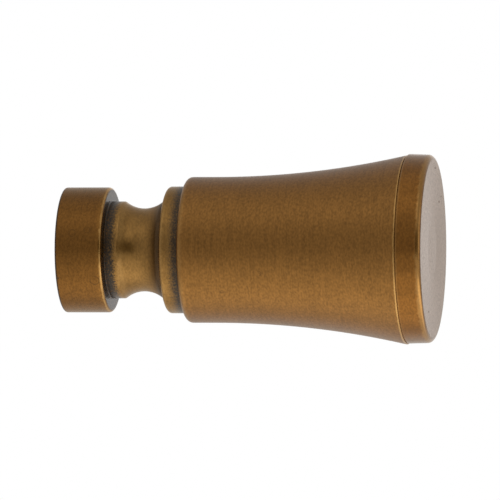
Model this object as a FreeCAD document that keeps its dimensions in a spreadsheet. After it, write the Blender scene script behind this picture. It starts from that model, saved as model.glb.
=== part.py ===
import FreeCAD, Part
import Sketcher
import math
import os

document = FreeCAD.newDocument("CurtainPoleFinial")

# Driving sizes, in millimetres and degrees: name, value, what it measures
sizeRows = [
    ("socketDiameter", 28.4, "pole socket, a sliding fit on a 28 mm pole"),
    ("socketDepth", 10.0, "pole socket, mouth to floor"),
    ("socketLeadIn", 0.4, "chamfer round the mouth of the socket"),
    ("collarWall", 2.3, "collar round the socket"),
    ("collarFloor", 2.4, "collar behind the socket's floor"),
    ("collarMouthRounding", 0.55, "outer edge at the mouth"),
    ("collarShoulderRounding", 0.9, "outer edge at the shoulder"),
    ("neckDiameter", 25.6, "the two lands beside the cove"),
    ("neckRearLand", 3.55, "land between collar and cove"),
    ("neckFrontLand", 1.4, "land between cove and ring"),
    ("coveDepth", 1.85, "cove, below the lands"),
    ("coveRadius", 8.1, "hollow of the cove"),
    ("ringDiameter", 33.4, "outside of the shoulder ring"),
    ("ringThickness", 5.05, "shoulder ring along the axis"),
    ("ringRounding", 0.9, "outer edge of the ring on the cove's side"),
    ("locatorDiameter", 12.0, "boss that centres the barrel on the ring"),
    ("locatorHeight", 1.5, "boss, above the ring"),
    ("locatorClearance", 0.1, "round the boss and above it"),
    ("barrelDiameter", 38.4, "straight end of the barrel"),
    ("barrelLength", 58.6, "barrel, ring to rim"),
    ("barrelStraight", 7.7, "straight part before the flare"),
    ("barrelRounding", 1.45, "edge of the barrel beside the ring"),
    ("rimDiameter", 49.7, "flared end of the barrel"),
    ("rimRounding", 0.3, "outer edge of the rim"),
    ("wallThickness", 2.2, "wall of the barrel"),
    ("baseThickness", 4.0, "floor of the barrel"),
    ("baseCorner", 1.5, "inside corner of the barrel's floor"),
    ("capSeatDepth", 6.0, "straight bore inside the rim"),
    ("capSeatWall", 1.3, "thinnest wall round that bore, at its floor"),
    ("capTaper", 0.2, "how far the cap's side draws in from back to face"),
    ("capThickness", 6.5, "end cap, back to face"),
    ("capBackRounding", 0.25, "edge of the cap beside the rim"),
    ("capFrontRounding", 1.4, "edge of the cap's face"),
    ("capJointGap", 0.2, "cement line between rim and cap"),
    ("capSpigotWall", 2.5, "ring that enters the barrel"),
    ("capSpigotClearance", 0.55, "round that ring"),
    ("capSpigotEndClearance", 1.2, "from that ring to the floor of its seat"),
    ("capLift", 0.3, "how far the cap was cemented off centre"),
    ("capTilt", 0.2, "how far the cap leans, degrees"),
    ("dishDepth", 0.35, "hollow of the cap's face"),
    ("dishFlatDiameter", 14.8, "flat middle of that hollow"),
    ("screwDiameter", 6.0, "fixing screw"),
    ("screwLength", 16.0, "fixing screw, under its head"),
    ("screwHeadDiameter", 10.0, "head of the fixing screw"),
    ("screwHeadHeight", 6.0, "head of the fixing screw"),
    ("screwKeyWidth", 5.0, "hexagon in the head, across flats"),
    ("screwKeyDepth", 3.0, "hexagon in the head"),
    ("screwPointChamfer", 0.6, "tip of the fixing screw"),
    ("screwHoleClearance", 0.3, "round the screw in the barrel's floor"),
    ("screwHoleSpare", 2.5, "tapped hole beyond the screw's tip"),
    ("threadClearance", 0.05, "between a thread and its tapped hole"),
    ("drillPointAngle", 118.0, "point of the drill, degrees"),
    ("washerDiameter", 12.0, "washer under the screw's head"),
    ("washerThickness", 1.6, "washer under the screw's head"),
    ("grubDiameter", 4.0, "grub screw that grips the pole"),
    ("grubLength", 3.0, "grub screw"),
    ("grubKeyWidth", 2.0, "hexagon in the grub screw, across flats"),
    ("grubKeyDepth", 1.5, "hexagon in the grub screw"),
    ("grubChamfer", 0.4, "both ends of the grub screw"),
    ("grubToBore", 0.2, "tip of the backed-off grub screw to the socket"),
    ("grubFromMouth", 5.0, "grub screw to the mouth of the socket"),
]

sheet = document.addObject("Spreadsheet::Sheet", "Sizes")
for row, (alias, size, note) in enumerate(sizeRows, start=1):
    sheet.set(f"A{row}", note)
    sheet.set(f"B{row}", str(size))
    sheet.setAlias(f"B{row}", alias)
document.recompute()

# Places along the axis, from the floor of the socket, as expressions on those sizes
mouth = "-Sizes.socketDepth"
shoulder = "Sizes.collarFloor"
coveStart = f"({shoulder} + Sizes.neckRearLand)"
coveWidth = "(2 * sqrt(Sizes.coveRadius ^ 2 - (Sizes.coveRadius - Sizes.coveDepth) ^ 2))"
coveEnd = f"({coveStart} + {coveWidth})"
ringRear = f"({coveEnd} + Sizes.neckFrontLand)"
ringFront = f"({ringRear} + Sizes.ringThickness)"
washerFace = f"({ringFront} + Sizes.baseThickness)"
screwSeat = f"({washerFace} + Sizes.washerThickness)"
capBack = f"({ringFront} + Sizes.barrelLength + Sizes.capJointGap)"
tappedHoleEnd = f"({screwSeat} - Sizes.screwLength - Sizes.screwHoleSpare)"
grubAlong = f"({mouth} + Sizes.grubFromMouth)"
grubTapped = "(Sizes.grubDiameter / 2 + Sizes.threadClearance)"

# Flare: a circular arc that leaves the straight part without a corner and ends at the rim.
# The inside of the wall is an arc round the same centre.
flareLength = "(Sizes.barrelLength - Sizes.barrelStraight)"
flareRise = "((Sizes.rimDiameter - Sizes.barrelDiameter) / 2)"
flareBend = f"(({flareLength} ^ 2 + {flareRise} ^ 2) / (2 * {flareRise}))"
flareCentre = f"(Sizes.barrelDiameter / 2 + {flareBend})"
wallBend = f"({flareBend} + Sizes.wallThickness)"
seatFloor = "(Sizes.barrelLength - Sizes.capSeatDepth)"
seatRun = f"({seatFloor} - Sizes.barrelStraight)"
wallAtSeat = f"({flareCentre} - sqrt({wallBend} ^ 2 - {seatRun} ^ 2))"
seatRadius = f"({flareCentre} - sqrt({flareBend} ^ 2 - {seatRun} ^ 2) - Sizes.capSeatWall)"
spigotRadius = f"({seatRadius} - Sizes.capSpigotClearance)"
spigotBack = "(Sizes.capSpigotEndClearance - Sizes.capSeatDepth - Sizes.capJointGap)"


def worth(text):
    """The number that an expression on the sizes gives."""
    return float(sheet.evalExpression(text))


def new_body(label):
    body = document.addObject("PartDesign::Body", label)
    body.Label = label
    return body


def new_sketch(body, name, role):
    """A sketch on one of the body's own origin planes."""
    sketch = body.newObject("Sketcher::SketchObject", name)
    plane = next(item for item in body.Origin.OriginFeatures if item.Role == role)
    sketch.AttachmentSupport = [(plane, "")]
    sketch.MapMode = "FlatFace"
    return sketch


def drive(sketch, constraint, name, text):
    """Adds a dimension whose value is an expression on the sizes."""
    index = sketch.addConstraint(constraint)
    sketch.renameConstraint(index, name)
    sketch.setExpression(f"Constraints.{name}", text)


def arc_between(start, end, radius, centre_on_left):
    """Minor arc from start to end, its centre to the left or to the right of that way."""
    chord = end - start
    half = chord.Length / 2
    across = FreeCAD.Vector(-chord.y, chord.x, 0).normalize()
    side = 1 if centre_on_left else -1
    centre = start + chord * 0.5 + across * (side * math.sqrt(radius ** 2 - half ** 2))
    first, last = (start, end) if centre_on_left else (end, start)
    angles = [math.atan2(p.y - centre.y, p.x - centre.x) for p in (first, last)]
    if angles[1] < angles[0]:
        angles[1] += 2 * math.pi
    circle = Part.Circle(centre, FreeCAD.Vector(0, 0, 1), radius)
    return Part.ArcOfCircle(circle, angles[0], angles[1])


def draw_outline(sketch, corners):
    """Closed outline through (along, radius) corners given as expressions.

    A corner with two more entries starts an arc: its radius, and if its centre is on the left."""
    points = [FreeCAD.Vector(worth(corner[0]), worth(corner[1]), 0) for corner in corners]
    ends = []
    for index, corner in enumerate(corners):
        start = points[index]
        end = points[(index + 1) % len(points)]
        if len(corner) == 2:
            edge = sketch.addGeometry(Part.LineSegment(start, end), False)
            ends.append((edge, 1, 2))
            continue
        radius, centre_on_left = corner[2:]
        edge = sketch.addGeometry(arc_between(start, end, worth(radius), centre_on_left), False)
        ends.append((edge, 1, 2) if centre_on_left else (edge, 2, 1))
    for index, corner in enumerate(corners):
        edge, begin, finish = ends[index]
        before, _, meets = ends[index - 1]
        sketch.addConstraint(Sketcher.Constraint("Coincident", before, meets, edge, begin))
        across = Sketcher.Constraint("DistanceX", -1, 1, edge, begin, points[index].x)
        upward = Sketcher.Constraint("DistanceY", -1, 1, edge, begin, points[index].y)
        drive(sketch, across, f"along{index}", corner[0])
        drive(sketch, upward, f"radius{index}", corner[1])
        if len(corner) > 2:
            bend = Sketcher.Constraint("Radius", edge, worth(corner[2]))
            drive(sketch, bend, f"bend{index}", corner[2])
    document.recompute()


def turned(body, name, kind, corners):
    """Turns an outline about the axis, adding with a Revolution or cutting with a Groove."""
    sketch = new_sketch(body, name + "Outline", "XZ_Plane")
    draw_outline(sketch, corners)
    feature = body.newObject("PartDesign::" + kind, name)
    feature.Profile = sketch
    feature.ReferenceAxis = (sketch, ["H_Axis"])
    feature.Angle = 360.0
    document.recompute()
    return feature


def rounded(body, name, kind, size, rings):
    """Fillets or chamfers the circular edges at the given (along, radius) places."""
    base = body.Tip
    names = []
    for along, radius in rings:
        for number, edge in enumerate(base.Shape.Edges, start=1):
            curve = edge.Curve
            if not isinstance(curve, Part.Circle):
                continue
            near = abs(curve.Center.x - worth(along)) < 1e-4
            if near and abs(curve.Radius - worth(radius)) < 1e-4:
                names.append(f"Edge{number}")
    if len(names) != len(rings):
        raise RuntimeError(f"{name}: {len(names)} edges found for {len(rings)} places")
    feature = body.newObject("PartDesign::" + kind, name)
    feature.Base = (base, names)
    feature.setExpression("Radius" if kind == "Fillet" else "Size", size)
    document.recompute()
    return feature


def hexagon_pocket(body, name, along, width, depth):
    """Hexagon key socket, cut from a plane across the axis towards the origin's side."""
    sketch = new_sketch(body, name + "Outline", "YZ_Plane")
    sketch.AttachmentOffset = FreeCAD.Placement(FreeCAD.Vector(0, 0, worth(along)), FreeCAD.Rotation())
    sketch.setExpression("AttachmentOffset.Base.z", along)
    corner = worth(width) / math.sqrt(3)
    origin = FreeCAD.Vector(0, 0, 0)
    circle = sketch.addGeometry(Part.Circle(origin, FreeCAD.Vector(0, 0, 1), corner), True)
    sketch.addConstraint(Sketcher.Constraint("Coincident", circle, 3, -1, 1))
    drive(sketch, Sketcher.Constraint("Radius", circle, corner), "corner", f"{width} / sqrt(3)")
    turns = [math.radians(60 * step) for step in range(7)]
    points = [FreeCAD.Vector(corner * math.cos(turn), corner * math.sin(turn), 0) for turn in turns]
    sides = [sketch.addGeometry(Part.LineSegment(points[i], points[i + 1]), False) for i in range(6)]
    for number, side in enumerate(sides):
        following = sides[(number + 1) % 6]
        sketch.addConstraint(Sketcher.Constraint("Coincident", side, 2, following, 1))
        sketch.addConstraint(Sketcher.Constraint("PointOnObject", side, 1, circle))
        if number:
            sketch.addConstraint(Sketcher.Constraint("Equal", sides[0], side))
    sketch.addConstraint(Sketcher.Constraint("PointOnObject", sides[0], 1, -1))
    pocket = body.newObject("PartDesign::Pocket", name)
    pocket.Profile = sketch
    pocket.setExpression("Length", depth)
    document.recompute()
    return pocket


def cuts(before, body, name):
    """Stops the build where a cut took nothing away."""
    if body.Shape.Volume > before - 1e-6:
        raise RuntimeError(f"{name} removed no material")
    return body.Shape.Volume


def make_socket_neck():
    """Collar, coved neck and shoulder ring, turned from one bar."""
    body = new_body("socket_neck")
    land = "Sizes.neckDiameter / 2"
    bore = "Sizes.socketDiameter / 2"
    collar = f"({bore} + Sizes.collarWall)"
    ring = "Sizes.ringDiameter / 2"
    locator = "Sizes.locatorDiameter / 2"
    locatorTop = f"({ringFront} + Sizes.locatorHeight)"
    turned(body, "NeckBar", "Revolution", [
        (mouth, "0"),
        (mouth, collar),
        (shoulder, collar),
        (shoulder, land),
        (coveStart, land, "Sizes.coveRadius", True),
        (coveEnd, land),
        (ringRear, land),
        (ringRear, ring),
        (ringFront, ring),
        (ringFront, locator),
        (locatorTop, locator),
        (locatorTop, "0"),
    ])
    volume = body.Shape.Volume

    turned(body, "PoleSocket", "Groove", [(mouth, "0"), (mouth, bore), ("0", bore), ("0", "0")])
    volume = cuts(volume, body, "PoleSocket")

    tapped = "(Sizes.screwDiameter / 2 + Sizes.threadClearance)"
    drillTip = f"{tappedHoleEnd} - {tapped} / tan(Sizes.drillPointAngle * 1 deg / 2)"
    turned(body, "TappedHole", "Groove", [
        (drillTip, "0"),
        (tappedHoleEnd, tapped),
        (locatorTop, tapped),
        (locatorTop, "0"),
    ])
    volume = cuts(volume, body, "TappedHole")

    rounded(body, "MouthEdge", "Fillet", "Sizes.collarMouthRounding", [(mouth, collar)])
    rounded(body, "ShoulderEdge", "Fillet", "Sizes.collarShoulderRounding", [(shoulder, collar)])
    rounded(body, "RingEdge", "Fillet", "Sizes.ringRounding", [(ringRear, ring)])
    rounded(body, "LeadIn", "Chamfer", "Sizes.socketLeadIn", [(mouth, bore)])
    volume = body.Shape.Volume

    # Tapped through the rear wall of the collar
    sketch = new_sketch(body, "GrubHoleOutline", "XZ_Plane")
    place = FreeCAD.Vector(worth(grubAlong), 0, 0)
    circle = sketch.addGeometry(Part.Circle(place, FreeCAD.Vector(0, 0, 1), worth(grubTapped)), False)
    drive(sketch, Sketcher.Constraint("Radius", circle, worth(grubTapped)), "tapped", grubTapped)
    drive(sketch, Sketcher.Constraint("DistanceX", -1, 1, circle, 3, place.x), "along", grubAlong)
    sketch.addConstraint(Sketcher.Constraint("PointOnObject", circle, 3, -1))
    pocket = body.newObject("PartDesign::Pocket", "GrubHole")
    pocket.Profile = sketch
    pocket.setExpression("Length", f"2 * {collar}")
    document.recompute()
    cuts(volume, body, "GrubHole")
    return body


def make_flared_body():
    """Hollow barrel: straight beside the ring, flared to its rim, open there for the cap."""
    body = new_body("flared_body")
    straight = "Sizes.barrelStraight"
    outside = "Sizes.barrelDiameter / 2"
    inside = f"({outside} - Sizes.wallThickness)"
    rim = "Sizes.rimDiameter / 2"
    turned(body, "BarrelShell", "Revolution", [
        ("0", "0"),
        ("0", outside),
        (straight, outside, flareBend, True),
        ("Sizes.barrelLength", rim),
        ("Sizes.barrelLength", seatRadius),
        (seatFloor, seatRadius),
        (seatFloor, wallAtSeat, wallBend, False),
        (straight, inside),
        ("Sizes.baseThickness", inside),
        ("Sizes.baseThickness", "0"),
    ])
    volume = body.Shape.Volume

    recess = "(Sizes.locatorDiameter / 2 + Sizes.locatorClearance)"
    recessFloor = "(Sizes.locatorHeight + Sizes.locatorClearance)"
    hole = "(Sizes.screwDiameter / 2 + Sizes.screwHoleClearance)"
    turned(body, "LocatorRecess", "Groove", [
        ("0", "0"),
        ("0", recess),
        (recessFloor, recess),
        (recessFloor, hole),
        ("Sizes.baseThickness", hole),
        ("Sizes.baseThickness", "0"),
    ])
    cuts(volume, body, "LocatorRecess")

    rounded(body, "BaseEdge", "Fillet", "Sizes.barrelRounding", [("0", outside)])
    rounded(body, "BaseCorner", "Fillet", "Sizes.baseCorner", [("Sizes.baseThickness", inside)])
    rounded(body, "RimEdge", "Fillet", "Sizes.rimRounding", [("Sizes.barrelLength", rim)])
    body.setExpression("Placement.Base.x", ringFront)
    return body


def make_end_cap():
    """Disc that closes the rim, with a dished face and a ring that enters the barrel."""
    body = new_body("end_cap")
    edge = "Sizes.rimDiameter / 2"
    front = f"({edge} - Sizes.capTaper)"
    hollow = f"({spigotRadius} - Sizes.capSpigotWall)"
    dishFloor = "(Sizes.capThickness - Sizes.dishDepth)"
    turned(body, "CapDisc", "Revolution", [
        ("0", "0"),
        ("0", hollow),
        (spigotBack, hollow),
        (spigotBack, spigotRadius),
        ("0", spigotRadius),
        ("0", edge),
        ("Sizes.capThickness", front),
        (dishFloor, "Sizes.dishFlatDiameter / 2"),
        (dishFloor, "0"),
    ])
    rounded(body, "CapBackEdge", "Fillet", "Sizes.capBackRounding", [("0", edge)])
    rounded(body, "CapFrontEdge", "Fillet", "Sizes.capFrontRounding", [("Sizes.capThickness", front)])
    body.Placement.Rotation = FreeCAD.Rotation(FreeCAD.Vector(0, 1, 0), worth("Sizes.capTilt"))
    body.setExpression("Placement.Base.x", capBack)
    body.setExpression("Placement.Base.z", "Sizes.capLift")
    body.setExpression("Placement.Rotation.Angle", "Sizes.capTilt")
    return body


def make_fixing_screw():
    """Socket head screw that draws the barrel onto the ring, from inside the barrel."""
    body = new_body("fixing_screw")
    shank = "Sizes.screwDiameter / 2"
    head = "Sizes.screwHeadDiameter / 2"
    tip = "-Sizes.screwLength"
    turned(body, "ScrewBlank", "Revolution", [
        (tip, "0"),
        (tip, shank),
        ("0", shank),
        ("0", head),
        ("Sizes.screwHeadHeight", head),
        ("Sizes.screwHeadHeight", "0"),
    ])
    ends = [(tip, shank), ("Sizes.screwHeadHeight", head)]
    rounded(body, "ScrewEdges", "Chamfer", "Sizes.screwPointChamfer", ends)
    volume = body.Shape.Volume
    hexagon_pocket(body, "ScrewKey", "Sizes.screwHeadHeight", "Sizes.screwKeyWidth", "Sizes.screwKeyDepth")
    cuts(volume, body, "ScrewKey")
    body.setExpression("Placement.Base.x", screwSeat)
    return body


def make_washer():
    """Plain washer between the screw's head and the barrel's floor."""
    body = new_body("washer")
    hole = "(Sizes.screwDiameter / 2 + Sizes.screwHoleClearance)"
    rim = "Sizes.washerDiameter / 2"
    turned(body, "WasherRing", "Revolution", [
        ("0", hole),
        ("0", rim),
        ("Sizes.washerThickness", rim),
        ("Sizes.washerThickness", hole),
    ])
    body.setExpression("Placement.Base.x", washerFace)
    return body


def make_grub_screw():
    """Grub screw in the rear of the collar, backed off so that a pole can enter."""
    body = new_body("grub_screw")
    thread = "Sizes.grubDiameter / 2"
    turned(body, "GrubBlank", "Revolution", [
        ("0", "0"),
        ("0", thread),
        ("Sizes.grubLength", thread),
        ("Sizes.grubLength", "0"),
    ])
    ends = [("0", thread), ("Sizes.grubLength", thread)]
    rounded(body, "GrubEdges", "Chamfer", "Sizes.grubChamfer", ends)
    volume = body.Shape.Volume
    hexagon_pocket(body, "GrubKey", "Sizes.grubLength", "Sizes.grubKeyWidth", "Sizes.grubKeyDepth")
    cuts(volume, body, "GrubKey")
    body.Placement.Rotation = FreeCAD.Rotation(FreeCAD.Vector(0, 0, 1), 90)
    body.setExpression("Placement.Base.x", grubAlong)
    body.setExpression("Placement.Base.y", "Sizes.socketDiameter / 2 + Sizes.grubToBore")
    return body


bodies = [
    make_socket_neck(),
    make_flared_body(),
    make_end_cap(),
    make_fixing_screw(),
    make_washer(),
    make_grub_screw(),
]
document.recompute()

for item in document.Objects:
    if "Invalid" in item.State or "Error" in item.State:
        raise RuntimeError(f"{item.Name} failed: {item.State}")
for body in bodies:
    if body.Shape.isNull() or not body.Shape.isValid():
        raise RuntimeError(f"{body.Label} has no valid shape")

os.makedirs("parts", exist_ok=True)
for body in bodies:
    body.Shape.exportStep(f"parts/{body.Label}.step")
    box = body.Shape.BoundBox
    print(f"{body.Label}: {body.Shape.Volume:.1f} mm3, x {box.XMin:.2f} to {box.XMax:.2f}, "
          f"{len(body.Shape.Solids)} solid")
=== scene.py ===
import math

import bmesh
import bpy
from mathutils import Matrix, Vector


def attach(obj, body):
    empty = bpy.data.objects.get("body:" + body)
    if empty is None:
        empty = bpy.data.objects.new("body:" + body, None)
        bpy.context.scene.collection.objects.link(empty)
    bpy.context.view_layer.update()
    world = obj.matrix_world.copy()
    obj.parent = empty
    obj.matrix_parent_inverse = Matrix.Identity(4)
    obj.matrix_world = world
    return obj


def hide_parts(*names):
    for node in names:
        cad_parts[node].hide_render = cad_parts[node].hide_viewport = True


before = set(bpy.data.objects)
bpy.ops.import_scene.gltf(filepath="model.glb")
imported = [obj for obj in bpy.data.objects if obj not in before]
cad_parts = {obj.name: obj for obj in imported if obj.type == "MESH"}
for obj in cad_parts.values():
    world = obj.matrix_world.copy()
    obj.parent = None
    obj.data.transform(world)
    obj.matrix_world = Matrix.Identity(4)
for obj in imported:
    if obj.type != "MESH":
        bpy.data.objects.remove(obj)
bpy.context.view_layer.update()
print("frame loaded:", ", ".join(sorted(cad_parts)))

mm = 0.001
aroundSteps = 192  # facets of every turned surface
weldDistance = 1e-7
onLine = 1e-6  # how near a vertex lies to a ring that is to be bevelled
cutDistance = 1e-7  # how near a vertex lies to a cutting plane to count as on it


# Pen: draws half a section, along the axis and out from it, that is then turned

def penDown(bm, along, radius):
    return bm.verts.new((along * mm, 0, radius * mm))


def penLine(bm, vert, along, radius):
    end = penDown(bm, along, radius)
    bm.edges.new((vert, end))
    return end


def penArc(bm, vert, centreAlong, centreRadius, sweep, steps):
    # A positive sweep turns from "outwards" to "along"
    centre = (centreAlong * mm, 0, centreRadius * mm)
    made = bmesh.ops.spin(bm, geom=[vert], cent=centre, axis=(0, 1, 0), angle=sweep, steps=steps,
                          use_merge=False, use_duplicate=False)
    return next(item for item in made["geom_last"] if isinstance(item, bmesh.types.BMVert))


def turnSection(bm, steps=aroundSteps):
    section = bm.verts[:] + bm.edges[:]
    bmesh.ops.spin(bm, geom=section, cent=(0, 0, 0), axis=(1, 0, 0), angle=math.tau, steps=steps,
                   use_merge=True, use_duplicate=False)
    bmesh.ops.remove_doubles(bm, verts=bm.verts[:], dist=weldDistance)
    bmesh.ops.recalc_face_normals(bm, faces=bm.faces[:])


def isOnRing(vert, along, radius):
    away = math.hypot(vert.co.y, vert.co.z)
    return abs(vert.co.x - along * mm) < onLine and abs(away - radius * mm) < onLine


def bevelRing(bm, along, radius, rounding):
    width, segments = rounding
    ring = [edge for edge in bm.edges if all(isOnRing(vert, along, radius) for vert in edge.verts)]
    if not ring:
        raise ValueError(f"no ring at {along:.3f}, {radius:.3f}")
    bmesh.ops.bevel(bm, geom=ring, offset=width * mm, offset_type="OFFSET", segments=segments,
                    profile=0.5, affect="EDGES", clamp_overlap=True, material=-1)


def looseObject(bm, name):
    mesh = bpy.data.meshes.new(name)
    bm.to_mesh(mesh)
    bm.free()
    loose = bpy.data.objects.new(name, mesh)
    bpy.context.scene.collection.objects.link(loose)
    return loose


def carve(bm, tool, operation):
    # The bmesh after a boolean with the tool; both are used up
    work = looseObject(bm, "work")
    cutter = looseObject(tool, "tool")
    cut = work.modifiers.new("carve", "BOOLEAN")
    cut.object = cutter
    cut.operation = operation
    cut.solver = "EXACT"
    evaluated = work.evaluated_get(bpy.context.evaluated_depsgraph_get())
    done = bpy.data.meshes.new_from_object(evaluated)
    result = bmesh.new()
    result.from_mesh(done)
    bmesh.ops.remove_doubles(result, verts=result.verts[:], dist=weldDistance)
    bmesh.ops.holes_fill(result, edges=[edge for edge in result.edges if edge.is_boundary], sides=0)
    for spare in (work, cutter):
        bpy.data.meshes.remove(spare.data)
    bpy.data.meshes.remove(done)
    return result


def makePiece(bm, name, node, material, sharpAngle=38):
    mesh = bpy.data.meshes.new(name)
    bm.to_mesh(mesh)
    bm.free()
    mesh.materials.append(material)
    mesh.shade_smooth()
    mesh.set_sharp_from_angle(angle=math.radians(sharpAngle))
    piece = bpy.data.objects.new(name, mesh)
    bpy.context.scene.collection.objects.link(piece)
    weighted = piece.modifiers.new("even shading", "WEIGHTED_NORMAL")
    weighted.keep_sharp = True
    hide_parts(node)
    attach(piece, "root")
    return piece


# Shader helpers

def newGroup(name, inputs, outputs):
    group = bpy.data.node_groups.new(name, "ShaderNodeTree")
    for label, kind, value in inputs:
        socket = group.interface.new_socket(label, in_out="INPUT", socket_type=kind)
        if value is not None:
            socket.default_value = value
    for label, kind in outputs:
        group.interface.new_socket(label, in_out="OUTPUT", socket_type=kind)
    start = group.nodes.new("NodeGroupInput")
    end = group.nodes.new("NodeGroupOutput")
    return group, start, end


def plug(tree, source, target):
    if isinstance(source, (int, float)):
        target.default_value = source
    else:
        tree.links.new(source, target)


def sums(tree, operation, first, second=0.0, clamp=False):
    node = tree.nodes.new("ShaderNodeMath")
    node.operation = operation
    node.use_clamp = clamp
    plug(tree, first, node.inputs[0])
    plug(tree, second, node.inputs[1])
    return node.outputs[0]


def ramp(tree, value, fromLow, fromHigh, toLow=0.0, toHigh=1.0, kind="SMOOTHSTEP"):
    node = tree.nodes.new("ShaderNodeMapRange")
    node.interpolation_type = kind
    plug(tree, value, node.inputs["Value"])
    plug(tree, fromLow, node.inputs["From Min"])
    plug(tree, fromHigh, node.inputs["From Max"])
    plug(tree, toLow, node.inputs["To Min"])
    plug(tree, toHigh, node.inputs["To Max"])
    return node.outputs["Result"]


# The noises of the finish. "across" draws one out round the axis. "used" is the part of its range
# that is spread over 0 to 1, or over "to".
grain = {
    "hair": {"scale": 9000, "detail": 2.0, "roughness": 0.6, "across": 0.02},
    "line": {"scale": 2600, "detail": 2.0, "roughness": 0.55, "across": 0.06},
    "tone": {"scale": 1700, "detail": 1.0, "roughness": 0.5, "across": 0.07, "used": (0.28, 0.72)},
    "pepper": {"scale": 2250, "detail": 0.6, "roughness": 0.5, "across": 0.62, "used": (0.26, 0.74)},
    "cloud": {"scale": 160, "detail": 3.0, "roughness": 0.55, "across": 0.8, "used": (0.32, 0.68)},
    "ragged": {"scale": 2200, "detail": 2.0, "roughness": 0.75},
    "uneven": {"scale": 700, "detail": 2.0, "roughness": 0.6, "used": (0.3, 0.7), "to": (0.65, 1.35)},
    "wobble": {"scale": 900, "detail": 2.0, "roughness": 0.6},
    "broken": {"scale": 420, "detail": 1.0, "roughness": 0.5, "used": (0.38, 0.56),
               "curve": "SMOOTHSTEP"},
    "worn": {"scale": 2700, "detail": 2.0, "roughness": 0.7, "used": (0.50, 0.70), "to": (1.0, 0.34)},
}


def noise(tree, vector, kind):
    values = grain[kind]
    if "across" in values:
        drawn = tree.nodes.new("ShaderNodeVectorMath")
        drawn.operation = "MULTIPLY"
        tree.links.new(vector, drawn.inputs[0])
        drawn.inputs[1].default_value = (1.0, values["across"], values["across"])
        vector = drawn.outputs[0]
    node = tree.nodes.new("ShaderNodeTexNoise")
    node.noise_dimensions = "3D"
    tree.links.new(vector, node.inputs["Vector"])
    for label in ("scale", "detail", "roughness"):
        node.inputs[label.capitalize()].default_value = values[label]
    if "used" not in values:
        return node.outputs["Fac"]
    return ramp(tree, node.outputs["Fac"], *values["used"], *values.get("to", (0.0, 1.0)),
                kind=values.get("curve", "LINEAR"))


def blendColours(tree, mask, below, above):
    node = tree.nodes.new("ShaderNodeMix")
    node.data_type = "RGBA"
    plug(tree, mask, node.inputs["Factor"])
    for colour, socket in ((below, node.inputs["A"]), (above, node.inputs["B"])):
        if isinstance(colour, tuple):
            socket.default_value = (*colour, 1.0)
        else:
            tree.links.new(colour, socket)
    return node.outputs["Result"]


def blendValues(tree, mask, below, above):
    node = tree.nodes.new("ShaderNodeMix")
    node.data_type = "FLOAT"
    plug(tree, mask, node.inputs["Factor"])
    plug(tree, below, node.inputs["A"])
    plug(tree, above, node.inputs["B"])
    return node.outputs["Result"]


def placed(tree, group, **values):
    node = tree.nodes.new("ShaderNodeGroup")
    node.node_tree = group
    for label, value in values.items():
        socket = node.inputs[label]
        if isinstance(value, (int, float, tuple)):
            socket.default_value = value
        else:
            tree.links.new(value, socket)
    return node.outputs


def makeRadiusGroup():
    # Along the axis and out from it, read from a position
    group, start, end = newGroup("turnedPlace", [("Vector", "NodeSocketVector", None)],
                                 [("Along", "NodeSocketFloat"), ("Radius", "NodeSocketFloat")])
    parts = group.nodes.new("ShaderNodeSeparateXYZ")
    group.links.new(start.outputs["Vector"], parts.inputs[0])
    squares = sums(group, "ADD", sums(group, "POWER", parts.outputs["Y"], 2.0),
                   sums(group, "POWER", parts.outputs["Z"], 2.0))
    group.links.new(parts.outputs["X"], end.inputs["Along"])
    group.links.new(sums(group, "SQRT", squares), end.inputs["Radius"])
    return group


def makeBrushingGroup():
    # Fine lines left by the abrasive as the piece turned: hoops on its sides, circles on its ends
    group, start, end = newGroup("brushing", [("Vector", "NodeSocketVector", None),
                                              ("Radius", "NodeSocketFloat", 0.0)],
                                 [("Height", "NodeSocketFloat"), ("Tone", "NodeSocketFloat")])
    outward = group.nodes.new("ShaderNodeCombineXYZ")
    group.links.new(start.outputs["Radius"], outward.inputs["X"])
    total = group.nodes.new("ShaderNodeVectorMath")
    total.operation = "ADD"
    group.links.new(start.outputs["Vector"], total.inputs[0])
    group.links.new(outward.outputs[0], total.inputs[1])
    vector = total.outputs[0]
    height = sums(group, "ADD", sums(group, "MULTIPLY", noise(group, vector, "hair"), 0.5),
                  sums(group, "MULTIPLY", noise(group, vector, "line"), 0.5))
    group.links.new(height, end.inputs["Height"])
    group.links.new(noise(group, vector, "tone"), end.inputs["Tone"])
    return group


def makeMottleGroup():
    # Grain of the bronzing: fine dark pepper over slow clouds
    group, start, end = newGroup("mottle", [("Vector", "NodeSocketVector", None)],
                                 [("Pepper", "NodeSocketFloat"), ("Cloud", "NodeSocketFloat")])
    group.links.new(noise(group, start.outputs["Vector"], "pepper"), end.inputs["Pepper"])
    group.links.new(noise(group, start.outputs["Vector"], "cloud"), end.inputs["Cloud"])
    return group


def makeBandGroup():
    # Dark zone between two places along the axis, with ragged ends
    group, start, end = newGroup("raggedBand", [
        ("Vector", "NodeSocketVector", None), ("Along", "NodeSocketFloat", 0.0),
        ("From", "NodeSocketFloat", 0.0), ("To", "NodeSocketFloat", 0.0),
        ("From Fade", "NodeSocketFloat", 0.001), ("To Fade", "NodeSocketFloat", 0.001),
        ("Ragged", "NodeSocketFloat", 0.0005)], [("Mask", "NodeSocketFloat")])
    take = start.outputs
    fine = sums(group, "SUBTRACT", noise(group, take["Vector"], "ragged"), 0.5)
    shift = sums(group, "MULTIPLY", fine, take["Ragged"])
    along = sums(group, "ADD", take["Along"], shift)
    rise = ramp(group, along, take["From"], sums(group, "ADD", take["From"], take["From Fade"]))
    fallStart = sums(group, "SUBTRACT", take["To"], take["To Fade"])
    fall = ramp(group, along, fallStart, take["To"], 1.0, 0.0)
    group.links.new(sums(group, "MULTIPLY", rise, fall), end.inputs["Mask"])
    return group


ringCore = 0.25  # how much of a ring's width is at full strength


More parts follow.
